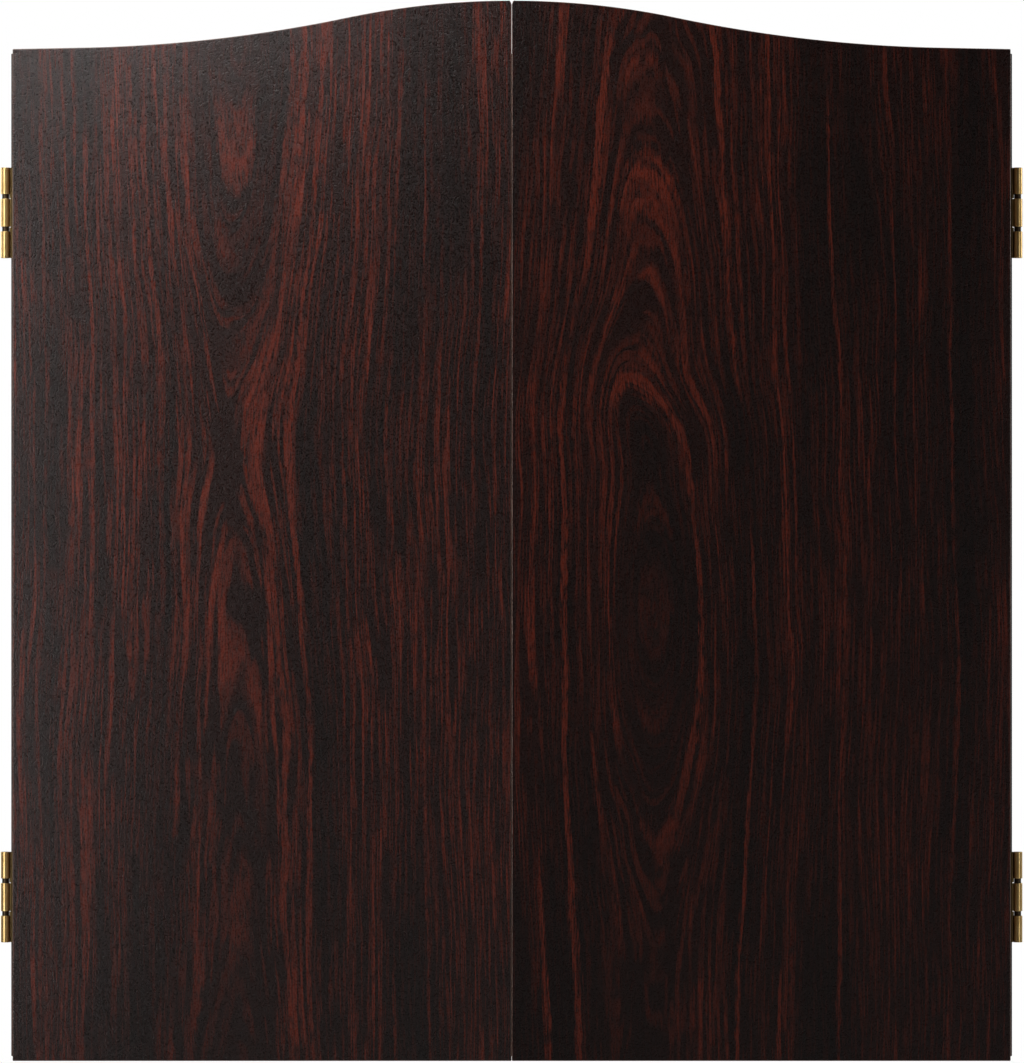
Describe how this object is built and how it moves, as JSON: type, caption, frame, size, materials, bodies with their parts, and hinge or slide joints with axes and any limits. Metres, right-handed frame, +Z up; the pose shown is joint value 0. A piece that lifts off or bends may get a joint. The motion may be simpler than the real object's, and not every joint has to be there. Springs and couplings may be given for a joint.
{
  "type": "dart board cabinet",
  "caption": "Wall-hung dart board cabinet with a crowned pair of hinged doors, brass butt hinges, a magnetic catch, scoreboards, dart holders and a bracket for the board.",
  "frame": {"origin": "on the wall plane, at the centre of the carcass, where the bull's-eye of a board lies", "axes": "+Z up, +X to the right of a person who faces the cabinet, -Y out of the doors and +Y into the wall"},
  "size_m": [0.554, 0.08, 0.5727],
  "materials": {
    "door_laminate": "semi-matt dark rosewood laminate with an embossed pore",
    "carcass_laminate": "semi-matt dark rosewood laminate",
    "back_panel": "matt black-brown fibreboard",
    "frame_moulding": "semi-matt dark moulding",
    "hinge_brass": "brass plate, slightly aged",
    "brass_screw": "brass plate",
    "hinge_pin": "darkened steel",
    "steel_screw": "zinc plate",
    "strike_steel": "zinc plate",
    "bracket_paint": "satin black powder coat",
    "holder_plastic": "fine-textured black plastic",
    "catch_plastic": "brown moulded plastic",
    "magnet": "sintered ferrite",
    "dry_wipe": "glossy white dry-wipe film on a board"
  },
  "bodies": {
    "cabinet": {"back_panel": "back_panel", "board_bracket": "bracket_paint", "board_bracket_screw_1": "steel_screw", "board_bracket_screw_2": "steel_screw", "board_bracket_screw_3": "steel_screw", "board_bracket_screw_4": "steel_screw", "bottom_board": "carcass_laminate", "catch_housing": "catch_plastic", "left_catch_magnet": "magnet", "left_catch_screw": "steel_screw", "left_lower_hinge_body_leaf": "hinge_brass", "left_lower_hinge_body_screw_1": "brass_screw", "left_lower_hinge_body_screw_2": "brass_screw", "left_lower_hinge_pin": "hinge_pin", "left_side": "carcass_laminate", "left_upper_hinge_body_leaf": "hinge_brass", "left_upper_hinge_body_screw_1": "brass_screw", "left_upper_hinge_body_screw_2": "brass_screw", "left_upper_hinge_pin": "hinge_pin", "right_catch_magnet": "magnet", "right_catch_screw": "steel_screw", "right_lower_hinge_body_leaf": "hinge_brass", "right_lower_hinge_body_screw_1": "brass_screw", "right_lower_hinge_body_screw_2": "brass_screw", "right_lower_hinge_pin": "hinge_pin", "right_side": "carcass_laminate", "right_upper_hinge_body_leaf": "hinge_brass", "right_upper_hinge_body_screw_1": "brass_screw", "right_upper_hinge_body_screw_2": "brass_screw", "right_upper_hinge_pin": "hinge_pin", "top_board": "carcass_laminate"},
    "left_door": {"left_dart_holder": "holder_plastic", "left_dart_holder_screw_1": "steel_screw", "left_dart_holder_screw_2": "steel_screw", "left_door": "door_laminate", "left_lower_hinge_door_leaf": "hinge_brass", "left_lower_hinge_door_screw_1": "brass_screw", "left_lower_hinge_door_screw_2": "brass_screw", "left_scoreboard": "dry_wipe", "left_scoreboard_frame": "frame_moulding", "left_strike_plate": "strike_steel", "left_strike_screw": "steel_screw", "left_upper_hinge_door_leaf": "hinge_brass", "left_upper_hinge_door_screw_1": "brass_screw", "left_upper_hinge_door_screw_2": "brass_screw"},
    "right_door": {"right_dart_holder": "holder_plastic", "right_dart_holder_screw_1": "steel_screw", "right_dart_holder_screw_2": "steel_screw", "right_door": "door_laminate", "right_lower_hinge_door_leaf": "hinge_brass", "right_lower_hinge_door_screw_1": "brass_screw", "right_lower_hinge_door_screw_2": "brass_screw", "right_scoreboard": "dry_wipe", "right_scoreboard_frame": "frame_moulding", "right_strike_plate": "strike_steel", "right_strike_screw": "steel_screw", "right_upper_hinge_door_leaf": "hinge_brass", "right_upper_hinge_door_screw_1": "brass_screw", "right_upper_hinge_door_screw_2": "brass_screw"}
  },
  "joints": [
    {"name": "left_door_hinge", "type": "hinge", "parent": "cabinet", "child": "left_door", "pos_m": [-0.2744, -0.067, 0], "axis": [0, 0, -1], "range_deg": [0, 180]},
    {"name": "right_door_hinge", "type": "hinge", "parent": "cabinet", "child": "right_door", "pos_m": [0.2744, -0.067, 0], "axis": [0, 0, 1], "range_deg": [0, 180]}
  ]
}
